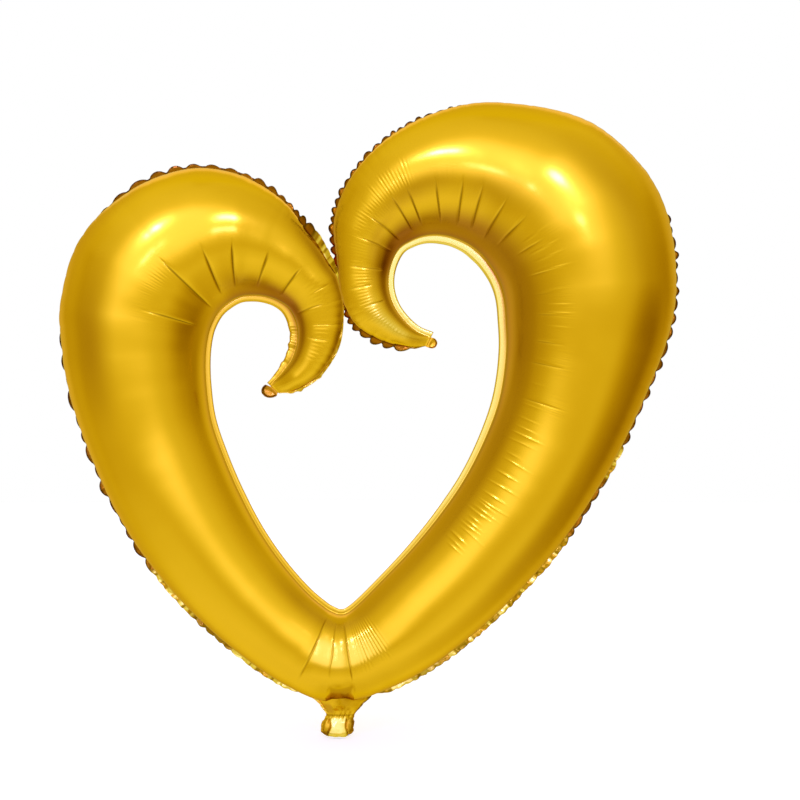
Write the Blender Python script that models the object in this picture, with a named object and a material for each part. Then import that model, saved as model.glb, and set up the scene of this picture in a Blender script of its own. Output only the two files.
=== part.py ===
"""Heart-outline foil balloon, inflated: one tube of gold film that runs from a
curled hook, down the left arm, round the bottom point and up the larger right
arm to a second curled hook.

Frame: X to the right, Y away from the viewer (the front panel is on -Y), Z up.
The weld seam lies in the plane Y = 0 and the neck tail stands on Z = 0.
Sizes are in millimetres, meshes are written in metres.
"""
import bpy
import bmesh
import math
import numpy as np
from mathutils import Vector

MM = 0.001

# Film
FILM = 0.5                   # foil thickness
VALVE_FILM = 0.3             # valve film thickness
WELD = 0.15                  # half of the gap left between the two welded plies
SHARP_ANGLE = 40             # degrees between faces above which an edge is sharp

# Creases: a folding piece has its origin on one
HALF_GAP = 1.5               # clearance on each side of a foil crease
NECK_X = -42.5               # centre line of the neck
CREASE_Z = 29.0              # throat crease, where the neck tail folds
LIP_Z = 53.0                 # valve hinge line inside the bottom point
LIP_HALF_GAP = 1.0           # clear height on each side of the valve hinge line
TAIL_TOP = CREASE_Z - HALF_GAP
THROAT_FLOOR = CREASE_Z + HALF_GAP

# Extra half gap where the valve films pass between the plies
SPREAD = 0.60
SPREAD_HALF_WIDTHS = (20.0, 16.0)    # fades in between these distances from NECK_X
SPREAD_HEIGHTS = (110.0, 70.0)       # fades in between these heights

# Tube section
DEPTH_RATIO = 0.46           # half depth of the tube over its width
ARC_STEPS = 10               # segments across the tube section
TIP_CLOSING = 34.0           # length over which a hook tip swells to full depth
TIP_BLUNTNESS = 0.6          # exponent of that swelling, lower is blunter

# Flanges
FLANGE_TAPER = 60.0          # length over which flanges narrow to a hook tip
INNER_FLANGE = 7.0
INNER_FLANGE_TIP = 3.5
INNER_FLANGE_EXTRA = 5.0     # added along the right arm
EXTRA_FADE_IN = (150, 420)   # distances after the bottom point
EXTRA_FADE_OUT = (330, 480)  # distances before the right tip
OUTER_FLANGE_TIP = 2.5       # reach beyond the tube's outer edge at a tip
OUTER_FLANGE_GAIN = 2.5      # further reach away from the tips
INSET_MAX = 6.0              # outer seam inside the tube's outer edge
INSET_RATIO = 0.12           # the same over the tube width, where that is less

# Where the two lobes lean on each other
TOUCH_INSET = 4.0            # added to the seam inset
TOUCH_FLANGE = 3.0           # outer flange width

# Panel rows, as lengths along the tube
TIP_OVERRUN = 2.0            # the panels run this far past each tip station
TIP_ROWS = [-TIP_OVERRUN, 2.0, 7.0, 13.0, 20.0, 29.0]   # distances from each tip
BODY_START = 42.0            # distance of the first evenly spaced row from a tip
BODY_END = 46.0              # distance of the last one from the bottom point
POINT_REACH = 36.0           # closer rows, each way from the bottom point
LEFT_ROWS, POINT_ROWS, RIGHT_ROWS = 36, 13, 43

# Throat and neck tail
THROAT_PICK_HALF = 24.0      # the throat grows from panel rows this near NECK_X
THROAT_PICK_Z = 60.0         # and with their outer edge below this height
THROAT_STEPS = 4
CREASE_HALF = 21.5           # half width of throat and tail at the crease
TAIL_FOOT_HALF = 24.0        # half width of the tail at its foot
TAIL_TAPER_START = 2.0       # height where the tail starts to narrow
TAIL_STEPS = 6
TAIL_COLUMNS = 25

# Valve: row heights of each pair of films, and the height of its origin
VALVE_HALF = 14.0
VALVE_COLUMNS = 9
VALVE_PARTS = [
    ("valve_inlet", [4.0, 16.0, TAIL_TOP], CREASE_Z),
    ("valve_throat", [THROAT_FLOOR, 41.0, LIP_Z - LIP_HALF_GAP], CREASE_Z),
    ("valve_lip", [LIP_Z + LIP_HALF_GAP, 82.0, 111.0, 140.0], LIP_Z),
]

# Hook tabs
TAB_STEPS = 20
TAB_SQUARENESS = 0.75        # exponent of the rounded nose, lower is squarer
TAB_FLARE = 2.2              # how fast a tab reaches its full width
TAB_SIGHT = 8.0              # length of tube that gives the tip its direction

# Lofting stations: inner seam X, Z and outer edge of the tube X, Z.
STATIONS = [
    # left hook, from its tip
    (-138, 494, -126, 482), (-121, 511, -105, 486), (-108, 529, -75, 505),
    (-101, 550, -54, 535), (-101, 575, -42, 577), (-111, 599, -43, 636),
    (-127, 611, -64, 682), (-148, 618, -92, 719), (-170, 619, -130, 757),
    # left lobe
    (-184, 616, -186, 786), (-197, 609, -255, 793), (-209, 599, -335, 763),
    (-218, 586, -402, 693), (-226, 564, -428, 605), (-230, 533, -427, 530),
    # left arm
    (-229, 493, -413, 462), (-222, 444, -388, 392), (-205, 394, -358, 325),
    (-184, 345, -322, 265), (-155, 290, -273, 203), (-122, 242, -219, 149),
    (-88, 203, -167, 107), (-62, 181, -127, 80),
    # bottom point
    (-51, 175, -88, 60), (-42, 172, -44, 44), (-32, 174, 0, 59),
    # right arm
    (-16, 186, 56, 83), (16, 218, 105, 114), (57, 261, 163, 161),
    (97, 309, 213, 210), (133, 361, 266, 271), (163, 420, 313, 340),
    (183, 476, 354, 412), (192, 540, 393, 497), (191, 590, 420, 573),
    # right lobe
    (188, 617, 428, 640), (181, 640, 416, 727), (170, 659, 378, 798),
    (155, 677, 300, 862), (135, 692, 185, 886), (108, 702, 105, 877),
    (81, 703, 30, 841), (57, 695, -25, 785), (39, 682, -50, 724),
    # right hook, to its tip
    (28, 657, -46, 668), (26, 629, -39, 615), (34, 603, -18, 575),
    (50, 581, 20, 553), (67, 567, 54, 546), (84, 560, 78, 548),
]
POINT_STATION = 24           # index of the bottom point


def ease(start, end, value):
    """Smooth step from 0 at start to 1 at end; start may be the larger."""
    t = min(max((value - start) / (end - start), 0.0), 1.0)
    return t * t * (3.0 - 2.0 * t)


class Loft:
    """Cubic through the stations, run by length along the tube's centre."""

    def __init__(self, stations):
        rows = np.array(stations, float)
        middles = (rows[:, :2] + rows[:, 2:]) / 2
        steps = np.linalg.norm(np.diff(middles, axis=0), axis=1)
        lengths = np.concatenate([[0.0], np.cumsum(steps)])
        slopes = np.empty_like(rows)
        slopes[1:-1] = (rows[2:] - rows[:-2]) / (lengths[2:] - lengths[:-2])[:, None]
        slopes[0] = (rows[1] - rows[0]) / (lengths[1] - lengths[0])
        slopes[-1] = (rows[-1] - rows[-2]) / (lengths[-1] - lengths[-2])
        self.rows, self.lengths, self.slopes = rows, lengths, slopes

    def at(self, t):
        """Station row at length t, carried on straight beyond either tip."""
        rows, lengths, slopes = self.rows, self.lengths, self.slopes
        if t < 0:
            return rows[0] + slopes[0] * t
        if t > lengths[-1]:
            return rows[-1] + slopes[-1] * (t - lengths[-1])
        i = min(int(np.searchsorted(lengths, t, side="right")) - 1, len(lengths) - 2)
        span = lengths[i + 1] - lengths[i]
        s = (t - lengths[i]) / span
        return ((2 * s**3 - 3 * s**2 + 1) * rows[i]
                + (s**3 - 2 * s**2 + s) * span * slopes[i]
                + (3 * s**2 - 2 * s**3) * rows[i + 1]
                + (s**3 - s**2) * span * slopes[i + 1])


LOFT = Loft(STATIONS)
END = LOFT.lengths[-1]
POINT = LOFT.lengths[POINT_STATION]


# Materials

def film_material(name, colour, roughness, metallic, alpha):
    material = bpy.data.materials.new(name + "_film")
    material.use_nodes = True
    inputs = material.node_tree.nodes["Principled BSDF"].inputs
    inputs["Base Color"].default_value = (*colour, 1.0)
    inputs["Roughness"].default_value = roughness
    inputs["Metallic"].default_value = metallic
    inputs["Alpha"].default_value = alpha
    return material


def gold_foil(name):
    return film_material(name, colour=(0.83, 0.57, 0.07), roughness=0.28, metallic=1.0, alpha=1.0)


def translucent_film(name):
    return film_material(name, colour=(0.86, 0.84, 0.78), roughness=0.25, metallic=0.0, alpha=0.6)


# Shared mesh building

def grid_faces(rows, columns):
    return [(i, i + 1, i + columns + 1, i + columns)
            for row in range(rows - 1)
            for i in range(row * columns, (row + 1) * columns - 1)]


def build_shell(name, outside, inside, faces, material, mirror=False, origin=(0.0, 0.0, 0.0)):
    """Closed skin: outside faces, inside faces and the strip joining their rims.

    mirror flips the piece to the back (+Y). origin becomes the object's own
    origin, so a folding piece turns about its crease.
    """
    side = np.array([1.0, -1.0 if mirror else 1.0, 1.0])
    origin = np.array(origin)
    bm = bmesh.new()
    outer = [bm.verts.new((side * point - origin) * MM) for point in outside]
    inner = [bm.verts.new((side * point - origin) * MM) for point in inside]
    edges = {}      # directed edges, in the order they are met
    for face in faces:
        bm.faces.new([outer[i] for i in face])
        bm.faces.new([inner[i] for i in reversed(face)])
        for a, b in zip(face, face[1:] + face[:1]):
            edges[(a, b)] = True
    for a, b in edges:
        if (b, a) not in edges:
            bm.faces.new((outer[b], outer[a], inner[a], inner[b]))
    if mirror:
        bmesh.ops.reverse_faces(bm, faces=bm.faces[:])
    for face in bm.faces:
        face.smooth = True
    mesh = bpy.data.meshes.new(name)
    bm.to_mesh(mesh)
    bm.free()
    mesh.set_sharp_from_angle(angle=math.radians(SHARP_ANGLE))
    mesh.materials.append(material(name))

    piece = bpy.data.objects.new(name, mesh)
    bpy.context.collection.objects.link(piece)
    piece.location = Vector(origin * MM)
    piece.parent = bpy.data.objects["balloon"]


# Foil panels

def foil_gap(x, z):
    """Distance of a foil ply's inside from the weld plane where it lies flat."""
    return WELD + SPREAD * ease(*SPREAD_HALF_WIDTHS, abs(x - NECK_X)) * ease(*SPREAD_HEIGHTS, z)


def touching(x, z):
    """1 where the two lobes lean on each other, 0 away from there."""
    return ease(505, 540, z) * ease(760, 725, z) * ease(-82, -58, x) * ease(0, -25, x)


def flanges(t, outer_edge, width):
    """Inner flange width, outer seam inset and outer flange width."""
    taper = ease(0, FLANGE_TAPER, min(t, END - t))
    extra = (ease(POINT + EXTRA_FADE_IN[0], POINT + EXTRA_FADE_IN[1], t)
             * ease(END - EXTRA_FADE_OUT[0], END - EXTRA_FADE_OUT[1], t))
    inner = INNER_FLANGE + INNER_FLANGE_EXTRA * extra
    inner = INNER_FLANGE_TIP + (inner - INNER_FLANGE_TIP) * taper
    inset = min(INSET_MAX, INSET_RATIO * width)
    outer = inset + OUTER_FLANGE_TIP + OUTER_FLANGE_GAIN * taper
    touch = touching(*outer_edge)
    return inner, inset + TOUCH_INSET * touch, outer * (1 - touch) + TOUCH_FLANGE * touch


def panel_row(t):
    """Outside and inside points of the front skin across the tube at length t."""
    row = LOFT.at(t)
    seam, outer_edge = row[:2], row[2:]
    tube_width = float(np.linalg.norm(outer_edge - seam))
    across = (outer_edge - seam) / tube_width
    inner, inset, outer = flanges(t, outer_edge, tube_width)
    width = tube_width - inset
    depth = DEPTH_RATIO * tube_width * ease(0, TIP_CLOSING, min(t, END - t)) ** TIP_BLUNTNESS

    # distance across on the outside and on the inside, and height off the weld
    profile = [(-inner, -inner, 0.0), (0.0, FILM, 0.0)]
    for k in range(1, ARC_STEPS):
        angle = math.pi * k / ARC_STEPS
        share = 0.5 * (1 - math.cos(angle))
        profile.append((width * share, FILM + (width - 2 * FILM) * share,
                        depth * math.sin(angle)))
    profile += [(width, width - FILM, 0.0), (width + outer, width + outer, 0.0)]

    outside, inside = [], []
    for outside_across, inside_across, height in profile:
        x, z = seam + across * outside_across
        outside.append((x, -(FILM + height + foil_gap(x, z)), z))
        x, z = seam + across * inside_across
        inside.append((x, -(height + foil_gap(x, z)), z))
    return outside, inside


def add_throat(outside, inside, faces, columns):
    """Ply from the outer flange at the bottom point down to the crease."""
    last = [i for i in range(columns - 1, len(outside), columns)
            if abs(outside[i][0] - NECK_X) < THROAT_PICK_HALF and outside[i][2] < THROAT_PICK_Z]
    top = [outside[i] for i in last]
    for k in range(1, THROAT_STEPS + 1):
        s = k / THROAT_STEPS
        new = []
        for j, (top_x, _, top_z) in enumerate(top):
            crease_x = NECK_X + CREASE_HALF * (2.0 * j / (len(top) - 1) - 1.0)
            x = top_x + (crease_x - top_x) * math.sin(s * math.pi / 2)
            z = top_z + (THROAT_FLOOR - top_z) * s
            new.append(len(outside))
            outside.append((x, -(FILM + foil_gap(x, z)), z))
            inside.append((x, -foil_gap(x, z), z))
        for j in range(len(new) - 1):
            faces.append((last[j], new[j], new[j + 1], last[j + 1]))
        last = new


def build_panel(name, mirror):
    lengths = [
        *TIP_ROWS,
        *np.linspace(BODY_START, POINT - BODY_END, LEFT_ROWS),
        *np.linspace(POINT - POINT_REACH, POINT + POINT_REACH, POINT_ROWS),
        *np.linspace(POINT + BODY_END, END - BODY_START, RIGHT_ROWS),
        *[END - distance for distance in reversed(TIP_ROWS)],
    ]
    outside, inside = [], []
    for t in lengths:
        row_outside, row_inside = panel_row(t)
        outside += row_outside
        inside += row_inside
    columns = ARC_STEPS + 3
    faces = grid_faces(len(lengths), columns)
    add_throat(outside, inside, faces, columns)
    build_shell(name, outside, inside, faces, gold_foil, mirror)


# Neck tail and valve

def build_strip_pair(names, heights, columns, half_width, gap, thickness, material, origin_z):
    """Front and back flat strips across the neck line.

    half_width is a function of z, gap a function of x and z.
    """
    outside, inside = [], []
    for z in heights:
        for j in range(columns):
            x = NECK_X + half_width(z) * (2.0 * j / (columns - 1) - 1.0)
            outside.append((x, -(gap(x, z) + thickness), z))
            inside.append((x, -gap(x, z), z))
    faces = grid_faces(len(heights), columns)
    for name, mirror in zip(names, (False, True)):
        build_shell(name, outside, inside, faces, material, mirror, (NECK_X, 0.0, origin_z))


def tail_half(z):
    narrowing = TAIL_FOOT_HALF - CREASE_HALF
    return TAIL_FOOT_HALF - narrowing * ease(TAIL_TAPER_START, CREASE_Z, z)


def build_neck_tail():
    build_strip_pair(
        ("neck_tail_front", "neck_tail_back"), np.linspace(0.0, TAIL_TOP, TAIL_STEPS + 1),
        TAIL_COLUMNS, tail_half, foil_gap, FILM, gold_foil, CREASE_Z)


def build_valve():
    for part, heights, origin_z in VALVE_PARTS:
        build_strip_pair(
            (part + "_front", part + "_back"), heights, VALVE_COLUMNS,
            lambda z: VALVE_HALF, lambda x, z: WELD, VALVE_FILM, translucent_film, origin_z)


# Hook tabs

def build_tab(name, tip, inward, length, width):
    """Rounded tab, two foils thick, beyond the tube's tip.

    inward is a length along the tube a little way in from the tip.
    """
    row, inner_row = LOFT.at(tip), LOFT.at(inward)
    middle = (row[:2] + row[2:]) / 2
    heading = middle - (inner_row[:2] + inner_row[2:]) / 2
    chord = row[2:] - row[:2]
    chord_width = float(np.linalg.norm(chord))
    outward = np.array([-chord[1], chord[0]]) / chord_width
    if np.dot(outward, heading) < 0:
        outward = -outward
    across = np.array([-outward[1], outward[0]])
    hinge = middle + outward * (TIP_OVERRUN + HALF_GAP)
    root = hinge + outward * HALF_GAP

    outline = []
    for k in range(TAB_STEPS + 1):
        angle = math.pi * k / TAB_STEPS
        # superellipse nose: square shoulders, rounded end
        cosine = math.cos(angle)
        sideways = math.copysign(abs(cosine) ** TAB_SQUARENESS, cosine)
        forward = math.sin(angle) ** TAB_SQUARENESS
        local_width = chord_width + (width - chord_width) * min(1.0, TAB_FLARE * forward)
        outline.append(root + across * (sideways * local_width / 2)
                       + outward * (length * forward))
    outside = [(x, -FILM, z) for x, z in outline]
    inside = [(x, FILM, z) for x, z in outline]
    # reversed so that the outside face looks towards -Y
    ring = tuple(reversed(range(len(outline))))
    build_shell(name, outside, inside, [ring], gold_foil, origin=(hinge[0], 0.0, hinge[1]))


def build_balloon():
    for old in list(bpy.data.objects):
        bpy.data.objects.remove(old, do_unlink=True)
    bpy.context.collection.objects.link(bpy.data.objects.new("balloon", None))
    build_panel("front_foil_panel", mirror=False)
    build_panel("back_foil_panel", mirror=True)
    build_neck_tail()
    build_valve()
    build_tab("left_hook_tab", tip=0.0, inward=TAB_SIGHT, length=14.0, width=23.0)
    build_tab("right_hook_tab", tip=END, inward=END - TAB_SIGHT, length=9.0, width=16.0)


build_balloon()
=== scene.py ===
"""Looks of an open-heart foil balloon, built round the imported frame.

A tube of gold film is bent into an open heart. It starts at the left hook's tip, inside the heart,
goes over the left lobe, down to the heart's point, up the right arm and over to the right hook's tip.
It is two panels welded at an inner and an outer flange. A filling neck with a clear valve hangs
below the point, and each hook ends in a welded tab. +X is right, +Z up, and the front faces -Y.

Lengths are in millimetres while a surface is worked out, and in metres once it is a mesh.
"along" runs along the tube from the left hook's tip to the right hook's tip, in millimetres.
"across" runs over the tube from the inner seam (0) to the outer edge (1), and is negative on the
inner flange.
"""
import math

import bpy
import numpy as np
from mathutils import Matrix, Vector


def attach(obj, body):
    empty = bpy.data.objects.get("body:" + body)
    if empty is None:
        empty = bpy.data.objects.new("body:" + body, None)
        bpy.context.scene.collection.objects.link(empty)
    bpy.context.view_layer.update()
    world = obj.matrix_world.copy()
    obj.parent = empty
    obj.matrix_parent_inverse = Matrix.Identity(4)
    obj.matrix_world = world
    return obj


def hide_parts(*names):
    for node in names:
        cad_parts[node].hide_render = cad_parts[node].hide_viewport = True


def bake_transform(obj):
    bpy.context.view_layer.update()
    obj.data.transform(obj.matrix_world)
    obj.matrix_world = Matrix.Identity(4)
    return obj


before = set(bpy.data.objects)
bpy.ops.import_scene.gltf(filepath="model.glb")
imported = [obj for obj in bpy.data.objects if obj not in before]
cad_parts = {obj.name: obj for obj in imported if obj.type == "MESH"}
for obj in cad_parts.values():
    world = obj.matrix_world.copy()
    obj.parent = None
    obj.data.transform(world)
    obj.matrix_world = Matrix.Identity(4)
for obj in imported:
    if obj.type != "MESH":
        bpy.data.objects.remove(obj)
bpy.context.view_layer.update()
MM = 0.001
SIDES = (("front", -1), ("back", 1))

DEPTH = 0.46            # the tube's half depth over its width
FLANGE = 12.0           # full width of the outer flange
FLANGE_CELLS = 4        # mesh cells across the inner flange
TUBE_CELLS = 52         # and across one panel of the tube
NECK_X = -42.5
MEETING = 188.0         # along: where the left hook meets the right one


# ---------------------------------------------------------------- smooth steps and noise
def ease(start, stop, x):
    """0 at start rising smoothly to 1 at stop; start may be the greater."""
    k = np.clip((np.asarray(x, float) - start) / (stop - start), 0, 1)
    return k * k * (3 - 2 * k)


def window(x, low, full, still, gone):
    """Rises from low to full and falls again from still to gone."""
    return ease(low, full, x) * ease(gone, still, x)


def hump(distance, reach):
    return np.exp(-(distance / reach) ** 2)


def table(x, pairs):
    """Smoothly interpolated look-up of (x, value) pairs."""
    xs, values = (np.array(column, float) for column in zip(*pairs))
    i = np.clip(np.searchsorted(xs, x, side="right") - 1, 0, len(xs) - 2)
    k = np.clip((x - xs[i]) / (xs[i + 1] - xs[i]), 0, 1)
    k = k * k * (3 - 2 * k)
    return values[i] + (values[i + 1] - values[i]) * k


def straight(x, pairs):
    """Look-up of (x, value) pairs with straight lines between them."""
    return np.interp(x, *zip(*pairs))


def tooth(x):
    """Triangle wave, 1 at whole numbers and 0 halfway."""
    return np.abs(np.mod(x, 1.0) - 0.5) * 2


def hash01(n, seed):
    x = np.sin(np.asarray(n, float) * 12.9898 + seed * 78.233 + 0.5) * 43758.5453
    return x - np.floor(x)


def hash_cell(i, j, seed):
    return hash01(i * 57.0 + j * 131.0, seed)


def noise1(x, seed):
    """Smooth value noise in -1..1, one unit apart."""
    i = np.floor(x)
    k = x - i
    k = k * k * (3 - 2 * k)
    return (hash01(i, seed) * (1 - k) + hash01(i + 1, seed) * k) * 2 - 1


def noise2(x, y, seed):
    i, j = np.floor(x), np.floor(y)
    k, m = x - i, y - j
    k, m = k * k * (3 - 2 * k), m * m * (3 - 2 * m)
    near = hash_cell(i, j, seed) * (1 - k) + hash_cell(i + 1, j, seed) * k
    far = hash_cell(i, j + 1, seed) * (1 - k) + hash_cell(i + 1, j + 1, seed) * k
    return (near * (1 - m) + far * m) * 2 - 1


def crumple(x, z, size, seed):
    """Flat facets with sharp folds between them: two crossed lattices, linearly interpolated."""
    total = 0
    for turn_index, turn in enumerate((0.5, -0.75)):
        a = (x * math.cos(turn) + z * math.sin(turn)) / size
        b = (-x * math.sin(turn) + z * math.cos(turn)) / (size * 1.3)
        i, j = np.floor(a), np.floor(b)
        k, m = a - i, b - j
        own = seed + turn_index
        side_i, side_j = hash_cell(i + 1, j, own), hash_cell(i, j + 1, own)
        low = hash_cell(i, j, own) * (1 - k - m) + side_i * k + side_j * m
        high = hash_cell(i + 1, j + 1, own) * (k + m - 1) + side_i * (1 - m) + side_j * (1 - k)
        total = total + np.where(k + m < 1, low, high) - 0.5
    return total


# ---------------------------------------------------------------- the tube's path
# inner seam X, Z and outer edge X, Z
STATIONS = np.array([
    (-138, 494, -126, 482), (-121, 511, -105, 486), (-108, 529, -75, 505),
    (-101, 550, -54, 535), (-101, 575, -42, 577), (-111, 599, -43, 636),
    (-127, 611, -64, 682), (-148, 618, -92, 719), (-170, 619, -130, 757),
    (-184, 616, -186, 786), (-197, 609, -255, 793), (-209, 599, -335, 763),
    (-218, 586, -402, 693), (-226, 564, -428, 605), (-230, 533, -427, 530),
    (-229, 493, -413, 462), (-222, 444, -388, 392), (-205, 394, -358, 325),
    (-184, 345, -322, 265), (-155, 290, -273, 203), (-122, 242, -219, 149),
    (-88, 203, -167, 107), (-62, 181, -127, 80),
    (-51, 175, -88, 60), (-42, 172, -44, 44), (-32, 174, 0, 59),
    (-16, 186, 56, 83), (16, 218, 105, 114), (57, 261, 163, 161),
    (97, 309, 213, 210), (133, 361, 266, 271), (163, 420, 313, 340),
    (183, 476, 354, 412), (192, 540, 393, 497), (191, 590, 420, 573),
    (188, 617, 428, 640), (181, 640, 416, 727), (170, 659, 378, 798),
    (155, 677, 300, 862), (135, 692, 185, 886), (108, 702, 105, 877),
    (81, 703, 30, 841), (57, 695, -25, 785), (39, 682, -50, 724),
    (28, 657, -46, 668), (26, 629, -39, 615), (34, 603, -18, 575),
    (50, 581, 20, 553), (67, 567, 54, 546), (84, 560, 78, 548),
], float)
POINT_STATION = 24
_middle = (STATIONS[:, :2] + STATIONS[:, 2:]) / 2
KNOTS = np.concatenate([[0.0], np.cumsum(np.linalg.norm(np.diff(_middle, axis=0), axis=1))])
END = KNOTS[-1]
POINT = KNOTS[POINT_STATION]
SLOPES = np.empty_like(STATIONS)
SLOPES[1:-1] = (STATIONS[2:] - STATIONS[:-2]) / (KNOTS[2:] - KNOTS[:-2])[:, None]
SLOPES[0] = (STATIONS[1] - STATIONS[0]) / (KNOTS[1] - KNOTS[0])
SLOPES[-1] = (STATIONS[-1] - STATIONS[-2]) / (KNOTS[-1] - KNOTS[-2])


def loft(along):
    """Stations interpolated by cubics, and run straight on past both ends."""
    i = np.clip(np.searchsorted(KNOTS, along, side="right") - 1, 0, len(KNOTS) - 2)
    gap = (KNOTS[i + 1] - KNOTS[i])[:, None]
    k = (np.clip(along, 0, END) - KNOTS[i])[:, None] / gap
    seams = ((2 * k**3 - 3 * k**2 + 1) * STATIONS[i] + (k**3 - 2 * k**2 + k) * gap * SLOPES[i]
             + (3 * k**2 - 2 * k**3) * STATIONS[i + 1] + (k**3 - k**2) * gap * SLOPES[i + 1])
    before = np.where(along < 0, along, 0)[:, None]
    after = np.where(along > END, along - END, 0)[:, None]
    return seams + before * SLOPES[0] + after * SLOPES[-1]


def sections(along):
    """Inner seam X, Z, direction outward X, Z, width, swelling from the tips (0..1), half depth."""
    seams = loft(along)
    inner, span = seams[:, :2], seams[:, 2:] - seams[:, :2]
    width = np.linalg.norm(span, axis=1)
    rise = ease(0, 34.0, np.minimum(along, END - along)) ** 0.6
    return (inner, span / width[:, None], width[:, None], rise[:, None],
            (DEPTH * width * rise)[:, None])


# distance along the outer edge against along
ARC_ALONG = np.linspace(-2.0, END + 2.0, 6000)
_edge_steps = np.linalg.norm(np.diff(loft(ARC_ALONG)[:, 2:], axis=0), axis=1)
ARC = np.concatenate([[0.0], np.cumsum(_edge_steps)])


def outer_arc(along):
    return np.interp(along, ARC_ALONG, ARC)


# ---------------------------------------------------------------- tables by (along, value)
# how far the outer flange's scallops stand out beyond the tube's outline
STANDOUT = [
    (-5, 3), (0, 4), (20, 7), (60, 6.5), (88, 5.5), (112, 3.5), (148, 3), (160, 3.5), (178, 6.5),
    (200, 8.5), (214, 9.5), (228, 9), (240, 9), (300, 11.5), (390, 11.5), (428, 6), (455, -2),
    (500, -1), (530, 6), (600, 7.5), (700, 8.5), (860, 8.5), (1000, 8), (1040, 7), (1062, 0),
    (1114, 0), (1136, 7.5), (1180, 8.5), (1230, 9), (1300, 9), (1335, 9), (1410, 9), (1455, 8),
    (1600, 8.5), (1790, 8.5), (1830, 3), (1870, -2), (2000, -1), (2040, 6), (2100, 7.5),
    (2200, 8), (2225, 8), (2280, 7), (2300, 8), (2330, 11), (2368, 10.5), (2389, 6)]
# how far the tube's own edge lies inside the outline
SHRINK = [
    (0, 0), (60, -2), (95, -4.5), (130, -4), (158, 0.5), (182, 3.5), (212, 3), (246, -1),
    (300, -3), (380, -1), (420, -2), (505, -2.5), (540, 0), (1000, 0), (1062, 0), (1080, 4.5),
    (1098, 4.5), (1118, 0), (END, 0)]
# forward (-) or backward (+) shift of the outer seam, over the tube's half depth
SHIFT = [(0, 0), (130, 0), (176, -0.12), (210, -0.10), (250, 0), (END, 0)]
# how far back (+) or forward (-) the outer flange's edge leans
TILT = [
    (0, 0), (140, -2), (165, -8), (212, -8), (245, 0), (400, 2), (450, 6), (520, 3), (700, 0),
    (1600, 0), (1830, 4), (2030, 4), (2100, 2), (2190, 4), (2225, 11), (2290, 10), (2318, 2),
    (END, 0)]
# how crumpled the outer flange is, and how much of it gets facets of painted glint
GLINT = [
    (0, .5), (120, .5), (160, 1.0), (214, .9), (236, .25), (700, .35), (790, .8), (900, 1.5),
    (1060, 1.2), (1110, 1.2), (1180, 1.5), (1420, 1.5), (1480, .7), (1800, .35), (2290, .4),
    (END, .5)]
# how much painted shadow and shade darken the outer flange's scallops
SCALLOP_SHADE = [
    (0, .30), (90, .30), (130, .12), (196, .14), (212, .95), (430, 1), (800, 1), (822, .85),
    (838, .12), (890, .12), (905, .75), (958, .70), (975, .15), (1060, .15), (1130, .20),
    (1168, .60), (1200, .60), (1222, .10), (1412, .10), (1434, .95), (1508, .95), (1518, .2),
    (1544, .2), (1560, 1), (2230, 1), (2290, 1), (2350, .95), (END, .6)]
INNER_WIDTH = [
    (0, 5.5), (30, 11), (60, 12.5), (110, 13), (150, 12.5), (200, 10.5), (300, 9.5), (400, 8.5),
    (500, 7.5), (900, 7), (1060, 7.5), (1120, 7), (1200, 6.5), (1400, 8.8), (1600, 11.5),
    (1700, 12.5), (1850, 14), (1950, 15), (2050, 13.5), (2150, 10.5), (2250, 9), (2330, 8.5),
    (END, 8.5)]
SCALLOP_LENGTH = [
    (0, 15), (60, 16), (130, 13), (200, 12), (240, 15), (290, 21), (350, 27), (430, 29),
    (560, 27), (800, 25), (900, 17), (1000, 15), (1200, 14), (1400, 15), (1480, 21), (1700, 21),
    (1800, 16), (1900, 18), (2050, 16), (2180, 14), (2300, 15), (2345, 22), (END, 22)]
# the lowest a scallop may be, over the highest
SCALLOP_LOW = [
    (0, .6), (230, .74), (440, .7), (540, .30), (760, .45), (840, .80), (1060, .82), (1440, .82),
    (1520, .60), (1600, .5), (2040, .55), (2200, .74), (END, .74)]
# where the outer flange is one crumpled strip (1) rather than separate scallops (0)
STRIP = [
    (0, 0), (140, 0), (160, .85), (206, .85), (224, 0), (800, 0), (845, .82), (895, .82),
    (910, .6), (960, .6), (980, .82), (1060, .82), (1130, .82), (1170, .7), (1230, .84),
    (1410, .84), (1440, .5), (1505, .4), (1525, .7), (1545, .5), (1565, 0), (END, 0)]
# painted shade on the tube: deeper, browner gold by the inner seam, and how far across it reaches
INNER_SHADE = [
    (0, .1), (110, .3), (150, .6), (280, .45), (420, .15), (560, .05), (1000, .05), (1300, .12),
    (1500, .2), (1650, .4), (1900, .5), (2080, .5), (2150, .7), (2220, .6), (2275, .1), (END, 0)]
INNER_SHADE_REACH = [
    (0, .2), (300, .16), (1400, .2), (1700, .36), (1900, .3), (2080, .26), (2160, .4),
    (2230, .36), (END, .3)]
# a band of painted shade within 30 mm of the inner seam
SEAM_SHADE_BAND = [
    (0, .1), (120, .45), (250, .72), (380, .5), (450, .3), (640, .12), (900, .2), (1030, .35),
    (1100, .25), (1290, .3), (1420, .45), (1550, .62), (1680, .74), (2000, .72), (2070, .6),
    (2150, .5), (2250, .4), (END, .2)]
# a line of painted shade a tenth of the way across
SEAM_SHADE_LINE = [
    (0, .45), (60, .52), (150, .72), (205, .66), (300, .42), (360, .02), (900, 0), (1000, .28),
    (1100, .34), (1200, .24), (1380, .34), (1500, .40), (1620, .30), (1740, .30), (1860, .38),
    (1980, .50), (2100, .42), (2200, .56), (2320, .5), (END, .4)]
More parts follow.
